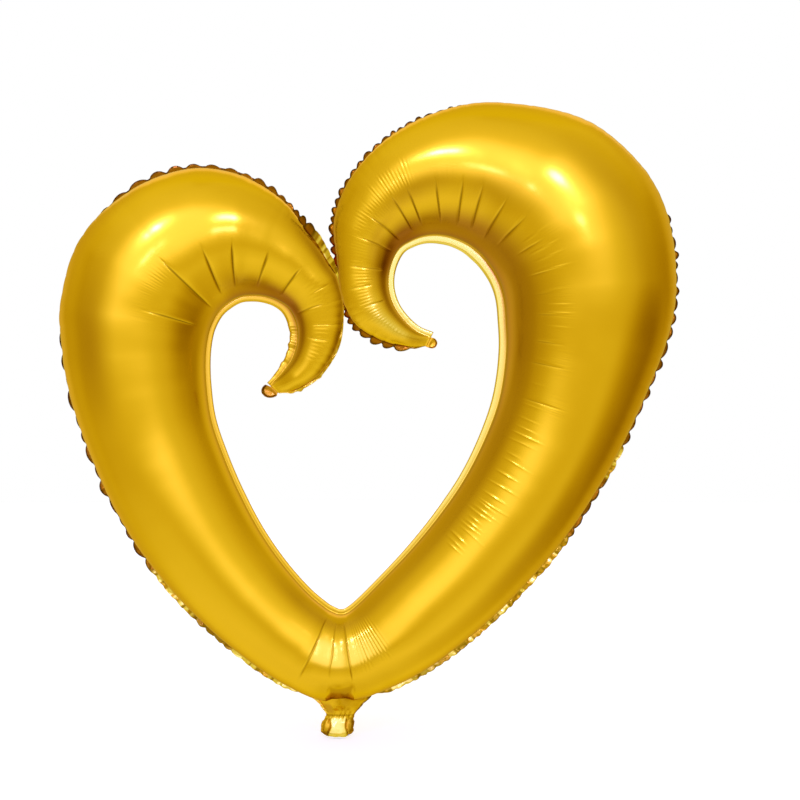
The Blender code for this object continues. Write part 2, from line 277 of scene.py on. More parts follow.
# inner flange: its painted highlight, and its painted shade next to the seam
FLANGE_HIGHLIGHT = [
    (0, .05), (120, .12), (700, .15), (980, .10), (1050, .1), (1290, .4), (1420, .75),
    (1550, .85), (1700, 1), (2250, 1), (END, .8)]
FLANGE_ROOT_SHADE = [
    (0, .5), (150, .85), (250, .5), (400, .6), (520, .42), (650, .3), (900, .15), (1160, .1),
    (1290, 0), (1480, 0), (1600, .3), (1680, .8), (1850, .95), (1930, .6), (2010, .3),
    (2080, .1), (END, .1)]

# radial creases: along, across from, across to, depth
CREASES = [
    (94, .20, .72, .7), (113, .30, .85, .5), (139, .06, .62, 1.1), (158, .45, .80, .6),
    (193, .06, .60, 1.7), (241, .05, .50, 2.0), (297, .05, .45, 2.0), (345, .05, .43, 2.0),
    (407, .03, .49, 2.0), (486, .06, .42, 1.5),
    (1048, .05, .84, 1.5), (1078, .06, .70, 1.1), (1105, .06, .76, 1.4),
    (1569, .14, .44, .8), (1626, .13, .39, .9), (1660, .14, .36, 1.0), (1703, .14, .33, 1.0),
    (1740, .14, .29, 1.0), (1782, .14, .30, 1.2), (1840, .13, .31, 1.4), (1892, .08, .33, 1.6),
    (1939, .06, .35, 1.8), (1986, .07, .40, 1.9), (2018, .07, .43, 1.8), (2058, .06, .45, 1.9),
    (2102, .07, .49, 1.8), (2127, .05, .52, 1.6), (2166, .04, .58, 1.3), (2198, .05, .60, 1.2),
    (2236, .10, .74, 1.0), (2262, .30, .85, .7), (2290, .12, .60, .8)]
# fine parallel wrinkles: along from, to, across from, to, height, spacing
BUNDLES = [
    (56, 180, .26, .78, .34, 5.6), (236, 292, .30, .54, .30, 4.2), (345, 400, .26, .48, .30, 4.4),
    (412, 478, .24, .52, .34, 4.4), (492, 566, .20, .38, .15, 4.8),
    (1111, 1168, .06, .70, .85, 4.8), (1895, 1945, .2, .42, .18, 4.6),
    (2020, 2100, .26, .56, .28, 4.3), (2084, 2230, .32, .78, .46, 4.2),
    (2215, 2336, .22, .80, .46, 4.4), (2326, 2372, .20, .70, .34, 5.0)]
# broad spots of painted shade and painted reflection: along, across, reach along, reach across,
# amount
SHADE_SPOTS = [
    (60, .88, 60, .07, .5), (180, .90, 60, .08, .6), (540, .74, 80, .11, .42),
    (2215, .24, 55, .12, .5), (2232, .96, 62, .09, .62), (1400, .82, 110, .08, .30),
    (1530, .86, 90, .07, .26), (1690, .20, 120, .06, .20), (1840, .76, 90, .09, .25),
    (1960, .36, 75, .12, .27), (2100, .40, 75, .10, .36), (2190, .32, 60, .09, .36)]


def lone_hoops():
    """Short raised hoops down the right arm: along, across from, to, height."""
    hoops = []
    along, k = 1322.0, 0
    while along < 1905:
        upper = float(ease(1500, 1600, along))
        draw = [float(hash01(k, 200 + j)) for j in range(4)]
        hoops.append((along, .13 + .05 * draw[0] + .02 * upper,
                      (.44 - .08 * upper) * (0.74 + 0.34 * draw[1]),
                      (.20 + .34 * draw[2]) * (1 - .25 * upper)))
        if along < 1400:
            along += 4.6 + 9 * draw[3] ** 2
        elif along < 1540:
            along += 5.2 + 17 * draw[3]
        else:
            along += 14 + 26 * draw[3]
        k += 1
    return hoops


def scallop_ends():
    """Where each scallop ends, measured round the outer edge."""
    arcs = outer_arc([along for along, _ in SCALLOP_LENGTH])
    lengths = [length for _, length in SCALLOP_LENGTH]
    ends = [-40.0]
    while ends[-1] < ARC[-1] + 60.0:
        length = float(np.interp(ends[-1], arcs, lengths))
        ends.append(ends[-1] + length * (0.72 + 0.56 * float(hash01(len(ends) - 1, 3))))
    return np.array(ends)


HOOPS = lone_hoops()
SCALLOP_ENDS = scallop_ends()


def scallops(along):
    """Place 0..1 within its scallop, the scallop's number, and the flange's height 0..1."""
    arc = outer_arc(along)
    i = np.clip(np.searchsorted(SCALLOP_ENDS, arc, side="right") - 1, 0, len(SCALLOP_ENDS) - 2)
    place = (arc - SCALLOP_ENDS[i]) / (SCALLOP_ENDS[i + 1] - SCALLOP_ENDS[i])
    low = table(along, SCALLOP_LOW)
    height = np.clip(np.sin(math.pi * place), 0, 1) ** 0.5 * (low + (1 - low) * hash01(i, 17))
    strip = table(along, STRIP)
    return place, i, strip * (0.90 + 0.10 * noise1(arc / 6.0, 19)) + (1 - strip) * height


def row_places():
    """Rows along the tube: closer together at each crease, each fine wrinkle and the tips."""
    along = np.linspace(-2.0, END + 2.0, 24001)
    density = np.full_like(along, 1 / 3.1)
    for crease in CREASES:
        near = ease(6.5, 2.0, np.abs(along - crease[0]))
        density = np.maximum(density, (1 / 0.75) * near)
    for hoop in HOOPS:
        near = ease(3.2, 1.2, np.abs(along - hoop[0]))
        density = np.maximum(density, (1 / 0.85) * near)
    for start, stop, _, _, _, spacing in BUNDLES:
        within = ease(start - 6, start + 4, along) * ease(stop + 6, stop - 4, along)
        density = np.maximum(density, (4.2 / spacing) * within / 1.15)
    density = np.maximum(density, (1 / 1.3) * ease(26, 8, np.minimum(along, END - along)))
    steps = (density[1:] + density[:-1]) / 2 * np.diff(along)
    total = np.concatenate([[0.0], np.cumsum(steps)])
    count = min(int(total[-1]), 1500)
    return np.interp(np.linspace(0, total[-1], count), total, along)


# ---------------------------------------------------------------- meshes
def grid_faces(grid):
    corners = [grid[:-1, :-1], grid[:-1, 1:], grid[1:, 1:], grid[1:, :-1]]
    return np.stack(corners, axis=-1).reshape(-1, 4)


def strip_faces(outside, inside):
    return np.stack([outside[1:], inside[1:], inside[:-1], outside[:-1]], axis=-1)


def film_object(name, points, faces, masks, film_uv):
    """Smooth object from points in millimetres, with float masks and a "film" UV map."""
    mesh = bpy.data.meshes.new(name)
    mesh.from_pydata((points * MM).tolist(), [], faces)
    mesh.update()
    for key, values in masks.items():
        attribute = mesh.attributes.new(key, "FLOAT", "POINT")
        attribute.data.foreach_set("value", values.astype(np.float32))
    layer = mesh.uv_layers.new(name="film")
    corners = np.zeros(len(mesh.loops), np.int64)
    mesh.loops.foreach_get("vertex_index", corners)
    layer.data.foreach_set("uv", film_uv[corners].astype(np.float32).ravel())
    mesh.polygons.foreach_set("use_smooth", np.ones(len(mesh.polygons), bool))
    made = bpy.data.objects.new(name, mesh)
    bpy.context.scene.collection.objects.link(made)
    return made


# masks of painted shadow (dark), painted highlight (pale) and painted shade, with no fine wrinkles
def film_masks(dark, pale=0, shade=0):
    return {"dark": dark, "pale": pale + 0 * dark, "shade": shade + 0 * dark, "fine": 0 * dark}


def closed_sheet(name, outside, inside, material, masks=None):
    """Closed thin solid between two grids of points of the same shape."""
    rows, columns, _ = outside.shape
    near = np.arange(rows * columns).reshape(rows, columns)
    far = near + rows * columns
    faces = np.concatenate([
        grid_faces(near), grid_faces(far)[:, ::-1],
        strip_faces(near[:, 0], far[:, 0]), strip_faces(near[:, -1], far[:, -1])[:, ::-1],
        strip_faces(near[0], far[0])[:, ::-1], strip_faces(near[-1], far[-1])])
    points = np.concatenate([outside.reshape(-1, 3), inside.reshape(-1, 3)])
    # a negative volume means that the faces look inward
    a, b, c, d = (points[faces[:, k]] for k in range(4))
    volume = (np.einsum("ij,ij->i", a, np.cross(b, c))
              + np.einsum("ij,ij->i", a, np.cross(c, d))).sum()
    if volume < 0:
        faces = faces[:, ::-1]
    doubled = {key: np.tile(values.ravel(), 2) for key, values in (masks or {}).items()}
    sheet = film_object(name, points, faces.tolist(), doubled, points[:, [0, 2]] * 0.01)
    sheet.data.materials.append(material)
    return sheet


# ---------------------------------------------------------------- the panels' surface
# Values by row are columns, and values by place across are flat, so that they combine to a grid.
ROWS = row_places()
ALONG = ROWS[:, None]
INNER, AIM, WIDTH, RISE, HALF_DEPTH = sections(ROWS)
GATHER = scallops(ROWS)[2][:, None]
OUT = 1 - np.array([0.0, 0.30, 0.56, 0.78])      # inner flange columns, from its edge (1) to the seam
_even = np.linspace(0, 1, TUBE_CELLS + 1)
TURN = math.pi * (_even + 0.035 * np.sin(2 * math.pi * _even))
TUBE_ACROSS = 0.5 * (1 - np.cos(TURN))
ACROSS = np.concatenate([-OUT, TUBE_ACROSS])
IN_FLANGE, IN_TUBE = slice(0, FLANGE_CELLS), slice(FLANGE_CELLS, None)
ON_TUBE = ACROSS > 0
GRID = (len(ROWS), len(ACROSS))
FROM_MEETING = np.abs(ALONG - MEETING)


def base_surface(side):
    """A panel without relief: its points, the tube's distances from the inner seam, its girth."""
    # the outer seam lies inside the tube's outline, in a groove
    from_point = np.abs(ALONG - POINT)
    weld = np.minimum(FLANGE, 0.6 * WIDTH + 3.0)
    inset = np.clip(weld - np.maximum(table(ALONG, STANDOUT), -1), 1.0, 13.0) * RISE
    inset = inset * (1 - 0.45 * ease(60, 25, from_point) - 0.30 * ease(22, 8, from_point))
    inset = inset * (1 - 0.55 * ease(40, 14, FROM_MEETING))
    outline = WIDTH - table(ALONG, SHRINK)
    tube_width = outline
    for _ in range(3):          # the groove at the seam must not pull the outline in
        distance = 0.5 * tube_width * (1 - np.cos(TURN))
        arc = (0.5 * (tube_width + HALF_DEPTH * 2) / 2) * (math.pi - TURN)
        distance = distance - inset * hump(arc, 14.0)
        tube_width = tube_width + outline - distance.max(axis=1, keepdims=True)

    # inner flange: taut and smooth, crumpled near the left hook's tip
    crumpled = ease(130, 90, ALONG) * ease(-5, 25, ALONG) + 0.12 * ease(2290, 2350, ALONG)
    facet = tooth(ALONG / 6.5 + 0.5 * noise1(ALONG / 11.0, 24)) * 2 - 1
    wave = crumpled * OUT * (2.0 * noise1(ALONG / 8.5, 21)
                             + 0.6 * facet * hash01(np.floor(ALONG / 13.0), 26))
    lip = 1 + crumpled * 0.10 * noise1(ALONG / 9.0, 23)
    flange_out = table(ALONG, INNER_WIDTH) * OUT

    points = np.zeros(GRID + (3,))
    for axis, k in ((0, slice(0, 1)), (2, slice(1, 2))):
        points[:, IN_TUBE, axis] = INNER[:, k] + AIM[:, k] * distance
        points[:, IN_FLANGE, axis] = INNER[:, k] - AIM[:, k] * flange_out * lip
    shift = table(ALONG, SHIFT) * HALF_DEPTH * ease(0.15, 1.0, TUBE_ACROSS)
    points[:, IN_TUBE, 1] = side * (0.35 + HALF_DEPTH * np.sin(TURN)) + shift
    points[:, IN_FLANGE, 1] = side * 0.35 - 0.45 * np.sin(OUT * math.pi) + wave
    return points, distance, tube_width + 2 * HALF_DEPTH


def normals_and_stretch(points, side):
    """Outward normals, and the true length of a unit of along: rows fan out round the hooks."""
    down_rows = np.gradient(points, axis=0)
    normals = np.cross(down_rows, np.gradient(points, axis=1))
    normals /= np.maximum(np.linalg.norm(normals, axis=2), 1e-9)[:, :, None]
    normals *= np.sign((normals[:, :, 1] * side)[:, IN_TUBE].sum())
    return normals, np.linalg.norm(down_rows, axis=2) / np.gradient(ROWS)[:, None]


def relief(side, stretch, girth):
    """Heights along the normal, and masks: the creases' painted shadow, fine wrinkling, and the
    hollow's painted shade.
    """
    height, crease_shadow, fine = np.zeros(GRID), np.zeros(GRID), np.zeros(GRID)
    is_back = side > 0

    for k, (place, start, stop, depth) in enumerate(CREASES):
        at_point = 1040 < place < 1120
        if at_point:
            wander, pitch, half_width, darkness, dent, dent_reach = 1.8, 7.0, 0.95, 0.62, 0.62, 7.0
        else:
            wander, pitch, half_width, darkness, dent, dent_reach = 1.1, 5.0, 1.25, 1.0, 0.16, 6.0
        wobble = wander * noise1(ACROSS * pitch + k * 3.1, 31)
        if is_back:
            place = place + 7 * (float(hash01(k, 41)) - 0.5)
            depth = depth * (0.75 + 0.5 * float(hash01(k, 42)))
            stop = stop * (0.85 + 0.3 * float(hash01(k, 43)))
            wobble = wobble + 1.5 * noise1(ACROSS * 3.0 + k, 33)
        off = (ALONG - place - wobble * 0.6) * stretch
        extent = window(ACROSS, start, start + 0.07, stop - 0.16, stop)
        line = np.exp(-(np.abs(off) / half_width) ** 1.4) * extent
        height -= depth * 0.85 * line
        # how dark the crease's painted shadow is
        crease_shadow = np.maximum(crease_shadow, line * min(1.0, depth / 1.6) * darkness)
        height -= depth * dent * hump(off, dent_reach) * extent * ease(stop, stop - 0.3, ACROSS)
        fine += hump(off, 16.0) * window(ACROSS, start, stop, stop - 0.04, stop + 0.12)

    for k, (place, start, stop, rise) in enumerate(HOOPS):
        if is_back:
            place = place + 9 * (float(hash01(k, 45)) - 0.5)
        off = (ALONG - place - 1.2 * noise1(ACROSS * 4.0 + k * 2.3, 35)) * stretch
        extent = window(ACROSS, start, start + 0.05, stop - 0.12, stop)
        height += rise * (hump(off, 1.15) - 0.55 * hump(off - 2.1, 1.3)) * extent

    for k, (first, last, start, stop, rise, spacing) in enumerate(BUNDLES):
        by_point = 1100 < first < 1200
        lowest, start_spread, stop_spread = (0.6, 0.12, 0.30) if by_point else (0.30, 0.34, 0.40)
        phase = ALONG / spacing + 0.9 * noise1(ALONG / 40.0, 50 + k)
        number = np.floor(phase)
        size = lowest + (1 - lowest) * hash01(number, 60 + k)
        own_start = start + start_spread * (stop - start) * hash01(number, 70 + k)
        own_stop = stop - stop_spread * (stop - start) * hash01(number, 80 + k)
        extent = ease(0, 0.07, ACROSS - own_start) * ease(0, 0.10, own_stop - ACROSS)
        ends = window(ALONG, first, first + 14, last - 14, last)
        height += rise * (ends * size * (tooth(phase) ** 1.5 - 0.4)) * extent

    # puckers that the gathered outer seam sends into the tube
    from_seam = (1 - ACROSS) * (0.25 * math.pi) * girth
    pucker = (1 - GATHER) * np.exp(-(from_seam / 13.0)) * ease(-0.5, 1.0, from_seam) * RISE
    height -= 1.2 * pucker * (ACROSS > 0.5) * (1 - 0.7 * ease(50, 20, FROM_MEETING))

    # the hollow in front, over the filling neck, pinched between two short folds
    hollow = np.zeros(GRID)
    if not is_back:
        off = np.abs((ALONG - POINT - 3.0) * stretch + 2.0 * (ACROSS - .85) * 10)
        hollow = ease(21.0, 11.0, off) * ease(.70, .94, ACROSS)
        height -= 5.0 * hollow
        # mask for the painted shade in and over the hollow
        hollow = np.maximum(0.80 * hollow,
                            ease(18.0, 14.5, off) * ease(.750, .800, ACROSS) * 0.86)

    # at the heart's point the film is pulled flat between the creases down to a soft edge
    height += ((0.8 if is_back else 2.4) * window(ACROSS, .38, .57, .62, .92)
               * window(ALONG, 1030, 1062, 1146, 1240))
    # slow dents and long shallow ripples, so that the highlights aren't perfectly even
    calm = window(ACROSS, 0.02, 0.2, 0.85, 1.0) * RISE
    hooks = np.maximum(ease(500, 440, ALONG), ease(1880, 1940, ALONG))
    for size, length, pitch, offset, seed in (
            (0.26 + 0.14 * hooks, 80.0, 3.0, 9, 91), (0.05 + 0.11 * hooks, 17.0, 4.0, 5, 95),
            (0.20 * (1 - 0.6 * hooks), 260.0, 9.0, 3, 97)):
        height += size * noise2(ALONG / length, ACROSS * pitch + offset, seed + is_back) * calm
    height *= ON_TUBE & (ACROSS < 1)
    return height, crease_shadow, np.clip(fine, 0, 1), hollow


def blot(along, across, reach_along, reach_across):
    spot = -((ALONG - along) / reach_along) ** 2 - ((ACROSS - across) / reach_across) ** 2
    return np.exp(spot) * ON_TUBE


def panel_masks(distance, crease_shadow, fine, hollow):
    """Colour masks: pale for painted highlight, dark for the creases' painted shadow, shade for
    painted shade.
    """
    # painted shade by the inner seam
    reach = table(ALONG, INNER_SHADE_REACH)
    shade = table(ALONG, INNER_SHADE) * ease(1.0, 0.0, np.clip(ACROSS, 0, 1) / reach)
    shade = np.maximum(shade, 0.10 * ease(.07, .0, ACROSS) * ON_TUBE)
    # painted shade in the hollow over the neck
    shade = np.maximum(shade, 0.52 * hollow)
    # spots of painted shade and painted reflection
    for *spot, amount in SHADE_SPOTS:
        shade = np.maximum(shade, amount * blot(*spot))
    # a band of painted shade near the inner seam
    band = 0.55 * table(ALONG, SEAM_SHADE_BAND) * ease(30, 3, distance) * (TUBE_ACROSS > 0)
    shade[:, IN_TUBE] = np.maximum(shade[:, IN_TUBE], band)
    # a line of painted shade a tenth of the way across
    line = table(ALONG, SEAM_SHADE_LINE) * hump(ACROSS - .10, .075) * ON_TUBE
    shade = np.clip(shade + line, 0, 1)

    pale = np.zeros(GRID)
    # the inner flange: painted highlight, and painted shade next to the seam
    light, root = table(ALONG, FLANGE_HIGHLIGHT), table(ALONG, FLANGE_ROOT_SHADE)
    pale[:, IN_FLANGE] = light * (1 - root * ease(.62, .24, OUT))
    shade[:, IN_FLANGE] = np.maximum(root * ease(.62, .22, OUT), 0.16 * (1 - light))
    # a painted highlight by the right hook's tip
    pale = np.maximum(pale, 0.8 * blot(2330, .40, 40, .16))
    # painted highlight on the stretched film between the creases at the point
    pale += (0.22 * window(ACROSS, .20, .34, .52, .60)
             * window(ALONG, 1040, 1056, 1130, 1175) * (1 - crease_shadow))
    # painted shadow in the creases
    dark = np.clip(0.70 * crease_shadow ** 1.4, 0, 1)
    return {"pale": pale, "dark": dark, "shade": shade, "fine": fine}


def build_panel(name, side):
    """One gold panel. Returns the object and the outer seam's distance from the inner one."""
    points, distance, girth = base_surface(side)
    normals, stretch = normals_and_stretch(points, side)
    height, crease_shadow, fine, hollow = relief(side, stretch, girth)
    points += normals * height[:, :, None]

    # inside skin: every row, few columns, a little inside the film, closing it into a thin solid
    last = GRID[1] - 1
    between = [FLANGE_CELLS + int(round(k * TUBE_CELLS / 8)) for k in range(1, 8, 2)]
    columns = [0, FLANGE_CELLS, *between, last]
    skin = points[:, columns].copy()
    seam = np.array([column <= FLANGE_CELLS or column >= last for column in columns])
    skin[:, seam, 1] -= side * 0.25
    axis = ((points[:, FLANGE_CELLS] + points[:, last]) / 2)[:, None, :]
    skin[:, ~seam] = axis + (skin[:, ~seam] - axis) * 0.93
    by_tip = np.minimum(ROWS, END - ROWS) < 30
    skin[by_tip[:, None] & ~seam[None, :], 1] *= 0.9

    count = GRID[0] * GRID[1]
    outer = np.arange(count).reshape(GRID)
    inner = count + np.arange(GRID[0] * len(columns)).reshape(GRID[0], len(columns))
    faces = np.concatenate([
        grid_faces(outer), grid_faces(inner)[:, [0, 3, 2, 1]],
        strip_faces(outer[:, 0], inner[:, 0]),
        strip_faces(outer[:, -1], inner[:, -1])[:, ::-1]]).tolist()
    faces.append(outer[0, ::-1].tolist() + inner[0].tolist())
    faces.append(outer[-1].tolist() + inner[-1, ::-1].tolist())
    if side > 0:
        faces = [face[::-1] for face in faces]

    total = count + inner.size
    masks = {}
    for key, values in panel_masks(distance, crease_shadow, fine, hollow).items():
        masks[key] = np.zeros(total)
        masks[key][:count] = values.ravel()
    film_uv = np.zeros((total, 2))
    film_uv[:count, 0] = np.repeat(ROWS, GRID[1]) * 0.01
    film_uv[:count, 1] = np.tile(ACROSS, GRID[0]) * 1.5
    vertices = np.concatenate([points.reshape(-1, 3), skin.reshape(-1, 3)])
    return film_object(name, vertices, faces, masks, film_uv), distance[:, -1]


def rim_grids(seam):
    """The outer heat-sealed flange, both plies together: scallops gathered along the outer edge.

    Returns the front and back grids of points and the masks of painted shadow, highlight and shade.
    """
    arc = np.arange(outer_arc(-1.0), outer_arc(END + 1.0), 2.1)
    along = np.interp(arc, ARC, ARC_ALONG)
    inner, aim, width, rise, half_depth = sections(along)
    root = np.interp(along, ROWS, seam)[:, None]
    arc, along = arc[:, None], along[:, None]
    place, number, gather = scallops(along)
    glint, darkening = table(along, GLINT), table(along, SCALLOP_SHADE)
    sign = np.where(hash01(number, 7) > 0.5, 1.0, -1.0) * (0.5 + 0.5 * hash01(number, 11))
    flap = sign * gather * (2.2 + 1.2 * hash01(number, 13))
    standing = width + table(along, STANDOUT) * gather - 0.8 * (1 - gather) - root
    edge = root + np.maximum(standing, 3.0) * (0.25 + 0.75 * rise)
    # columns from just inside the seam (0) to the flange's edge (1)
    column = np.array([-0.12, 0.0, 0.25, 0.45, 0.62, 0.76, 0.88, 0.96, 1.0])[None, :]
    distance = root + (edge - root) * column
    x = inner[:, 0:1] + aim[:, 0:1] * distance
    z = inner[:, 1:2] + aim[:, 1:2] * distance
    out = np.clip(column, 0, 1)
    y = table(along, SHIFT) * half_depth + table(along, TILT) * out ** 1.2
    y = y + (flap * rise) * np.sin(out * math.pi * 0.62)
    # each scallop is a small pleat: ridged along its middle, pinched at its two ends
    y = y - 1.2 * (np.abs(place - 0.5) * 2 - 0.5) * out * np.sign(sign)
    y = y + (1.7 * glint) * crumple(x, z, 5.5, 131) * ease(0.0, 0.3, out)
    ripple = tooth(arc / 3.3 + 0.6 * noise1(arc / 14.0, 133)) * 2 - 1
    y = y + 0.35 * ripple * ease(0.1, 0.7, out)

    # painted shade, browner low down on each scallop, and painted shadow, near black along its rim
    # and in the gaps
    low_part = ease(0.92, 0.45, out) * ease(0.5, 0.30, np.abs(place - 0.5))
    shade = ease(0.5, 0.9, darkening) * (0.80 + 0.20 * hash01(number, 151)) * low_part
    # where it isn't shaded it is crumpled into little facets with painted glints, some bright, some
    # dull
    flash = hash01(np.floor(arc / 4.4 + 0.5 * noise1(arc / 9.0, 139)), 141)
    dull = (1 - ease(0.3, 0.8, darkening)) * ease(0.4, 0.7, glint)
    pale = dull * np.where(flash > 0.52, 1.0, 0.0)
    dark = np.maximum(darkening, dull * np.where(flash < 0.22, 0.62, 0.0) * ease(0.0, 0.4, out))
    middling = (flash < 0.52) & (flash > 0.22)
    shade = np.maximum(shade, dull * np.where(middling, 0.45, 0.0))
    half_thick = 0.30 * (1 - 0.5 * ease(0.9, 1.0, out))
    return (np.stack([x, y - half_thick, z], axis=-1), np.stack([x, y + half_thick, z], axis=-1),
            film_masks(dark, pale, shade))


# ---------------------------------------------------------------- materials
GOLD_TINT = (0.742, 0.44, 0.004)
# painted light: near-black shadow for creases and gaps, brown shade, and a paler highlight
SHADOW_COLOUR = (0.060, 0.021, 0.001, 1)
SHADE_COLOUR = (0.30, 0.105, 0.001, 1)
HIGHLIGHT_COLOUR = (0.76, 0.56, 0.05, 1)
GRAZING_TINT = (0.62, 0.46, 0.13, 1)            # the metal's colour seen edge-on
# the edge-on colour where shadow or shade is painted
DARK_GRAZING_TINT = (0.35, 0.20, 0.06, 1)
COAT_WEIGHT = 0.10


def feed(tree, node, inputs):
    """Set a node's inputs, by name or number, to a value or to another node's output."""
    for key, value in inputs.items():
        if isinstance(value, bpy.types.NodeSocket):
            tree.links.new(value, node.inputs[key])
        else:
            node.inputs[key].default_value = value


def add_node(tree, kind, inputs=None, **settings):
    node = tree.nodes.new("ShaderNode" + kind)
    for key, value in settings.items():
        setattr(node, key, value)
    feed(tree, node, inputs or {})
    return node


def math_node(tree, operation, *values, clamp=False):
    node = add_node(tree, "Math", dict(enumerate(values)), operation=operation, use_clamp=clamp)
    return node.outputs[0]


def noise_node(tree, vector, scale, detail):
    inputs = {"Scale": scale, "Detail": detail, "Vector": vector}
    return add_node(tree, "TexNoise", inputs).outputs["Fac"]


def spread_node(tree, value, low, high):
    """Map 0..1 to low..high."""
    inputs = {"To Min": low, "To Max": high, "Value": value}
    return add_node(tree, "MapRange", inputs).outputs[0]


def mix_node(tree, factor, first, second):
    inputs = {"Factor": factor, 6: first, 7: second}
    return add_node(tree, "Mix", inputs, data_type="RGBA").outputs[2]


def bump_node(tree, height, distance, strength, **more):
    inputs = {"Distance": distance, "Height": height, "Strength": strength, **more}
    return add_node(tree, "Bump", inputs).outputs[0]


def new_material(name):
    material = bpy.data.materials.new(name)
    material.use_nodes = True
    return material, material.node_tree, material.node_tree.nodes["Principled BSDF"]


def gold(name, tint=GOLD_TINT, rough=0.22):
    """Metallised film: brushed-satin metal under a clear lacquer, with fine hoop wrinkles."""
    material, tree, shader = new_material(name)
    feed(tree, shader, {"Metallic": 1.0, "Coat Weight": COAT_WEIGHT, "Coat Roughness": 0.16,
                        "Coat IOR": 1.5, "Specular Tint": GRAZING_TINT})
    place = add_node(tree, "TexCoord").outputs["Object"]
    film = add_node(tree, "UVMap", uv_map="film").outputs[0]

    def mask(key):
        return add_node(tree, "Attribute", attribute_name=key).outputs["Fac"]

    # colour: slow drift of the lacquer, then the three masks: painted shadow, painted shade and
    # painted highlight
    ramp = add_node(tree, "ValToRGB", {"Fac": noise_node(tree, place, scale=5.0, detail=2.0)})
    red, green, blue = tint
    low, high = ramp.color_ramp.elements
    low.color = (red * 0.95, green * 0.93, blue * 0.9, 1)
    high.color = (red * 1.04, green * 1.05, blue * 1.15, 1)
    dark = mask("dark")
    colour = mix_node(tree, dark, ramp.outputs["Color"], SHADOW_COLOUR)
    shade = mask("shade")
    colour = mix_node(tree, shade, colour, SHADE_COLOUR)
    # no lacquer gloss where shadow is painted dark
    flat = math_node(tree, "SUBTRACT", 1.0, dark, clamp=True)
    coat = math_node(tree, "MULTIPLY", flat, COAT_WEIGHT)
    # the edge-on tint darkens too where shadow or shade is painted
    dimmed = math_node(tree, "MULTIPLY", shade, 0.6)
    dimmed = math_node(tree, "ADD", dark, dimmed, clamp=True)
    grazing = mix_node(tree, dimmed, GRAZING_TINT, DARK_GRAZING_TINT)
    colour = mix_node(tree, mask("pale"), colour, HIGHLIGHT_COLOUR)

    # roughness: cloudy handling marks
    cloud = noise_node(tree, place, scale=22.0, detail=4.0)
    roughness = spread_node(tree, cloud, low=rough - 0.045, high=rough + 0.055)

    # bump: hoop wrinkles finer than the mesh, strongest near the creases, and a fine grain
    hoops = add_node(tree, "Mapping", {"Scale": (42.0, 2.2, 1.0), "Vector": film}).outputs[0]
    wrinkle = noise_node(tree, hoops, scale=1.0, detail=3.0)
    strength = math_node(tree, "MULTIPLY", mask("fine"), 0.28)
    wrinkled = bump_node(tree, wrinkle, distance=0.0006, strength=strength)
    grain = noise_node(tree, place, scale=900.0, detail=2.0)
    normal = bump_node(tree, grain, distance=0.00004, strength=0.25, Normal=wrinkled)
    feed(tree, shader, {"Coat Weight": coat, "Specular Tint": grazing, "Base Color": colour,
                        "Roughness": roughness, "Normal": normal})
    return material


def clear_film(name):
    """Slightly hazy clear plastic."""
    material, tree, shader = new_material(name)
    feed(tree, shader, {"Base Color": (0.86, 0.86, 0.83, 1), "Roughness": 0.16, "IOR": 1.5,
                        "Transmission Weight": 0.55})
    place = add_node(tree, "TexCoord").outputs["Object"]
    haze = noise_node(tree, place, scale=180.0, detail=3.0)
    feed(tree, shader, {
        "Roughness": spread_node(tree, haze, low=0.10, high=0.30),
        "Normal": bump_node(tree, haze, distance=0.0002, strength=0.5)})
    return material


# ---------------------------------------------------------------- panels and outer flange
for word, side in SIDES:
    panel, seam_distance = build_panel(f"{word}_film", side)
    panel.data.materials.append(gold(f"gold_film_{word}"))
    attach(panel, "envelope")
    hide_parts(f"{word}_foil_panel")
    # the arms don't mirror each other: satin film blurs such far reflections to nothing
    panel.visible_glossy = False

rim_front, rim_back, rim_masks = rim_grids(seam_distance)
rim = closed_sheet("outer_seal_film", rim_front, rim_back, gold("gold_film_rim", rough=0.2),
                   rim_masks)
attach(rim, "envelope")


# ---------------------------------------------------------------- neck
# The panels' own film, gathered at the throat and left as a crumpled tail below it.
# height and X of the left edge, height and X of the right edge, height and half depth
NECK_LEFT = [
    (0, -57), (0.8, -58), (3, -63), (7, -67.5), (12, -69.3), (16, -68.6), (22, -66.2),
    (27, -63.2), (31, -61.6), (34, -62.4), (40, -66.5), (46, -71), (52, -76.5), (58, -84)]
NECK_RIGHT = [
    (0, -31), (0.8, -30.5), (4, -26), (8, -23), (12, -22), (20, -22), (27, -22), (31, -20.6),
    (34, -18.6), (40, -13.5), (46, -8), (52, -1.5), (58, 3)]
NECK_DEPTH = [
    (0, 3.4), (2, 5.6), (6, 6.6), (12, 6.2), (20, 4.8), (26, 3.2), (29, 2.3), (31, 2.2),
    (33, 3.0), (38, 5.6), (44, 9.0), (50, 11.5), (58, 13)]
# height and depth of the front film as it runs up from the throat into the tube's hollow
THROAT_RISE = [
    (31, 2.2), (33, 3), (38, 6.2), (44, 11.4), (50, 17), (54, 21), (58, 24.5), (62, 28),
    (64, 28.5), (66, 28)]
THROAT = 31.0           # height of the narrowest place


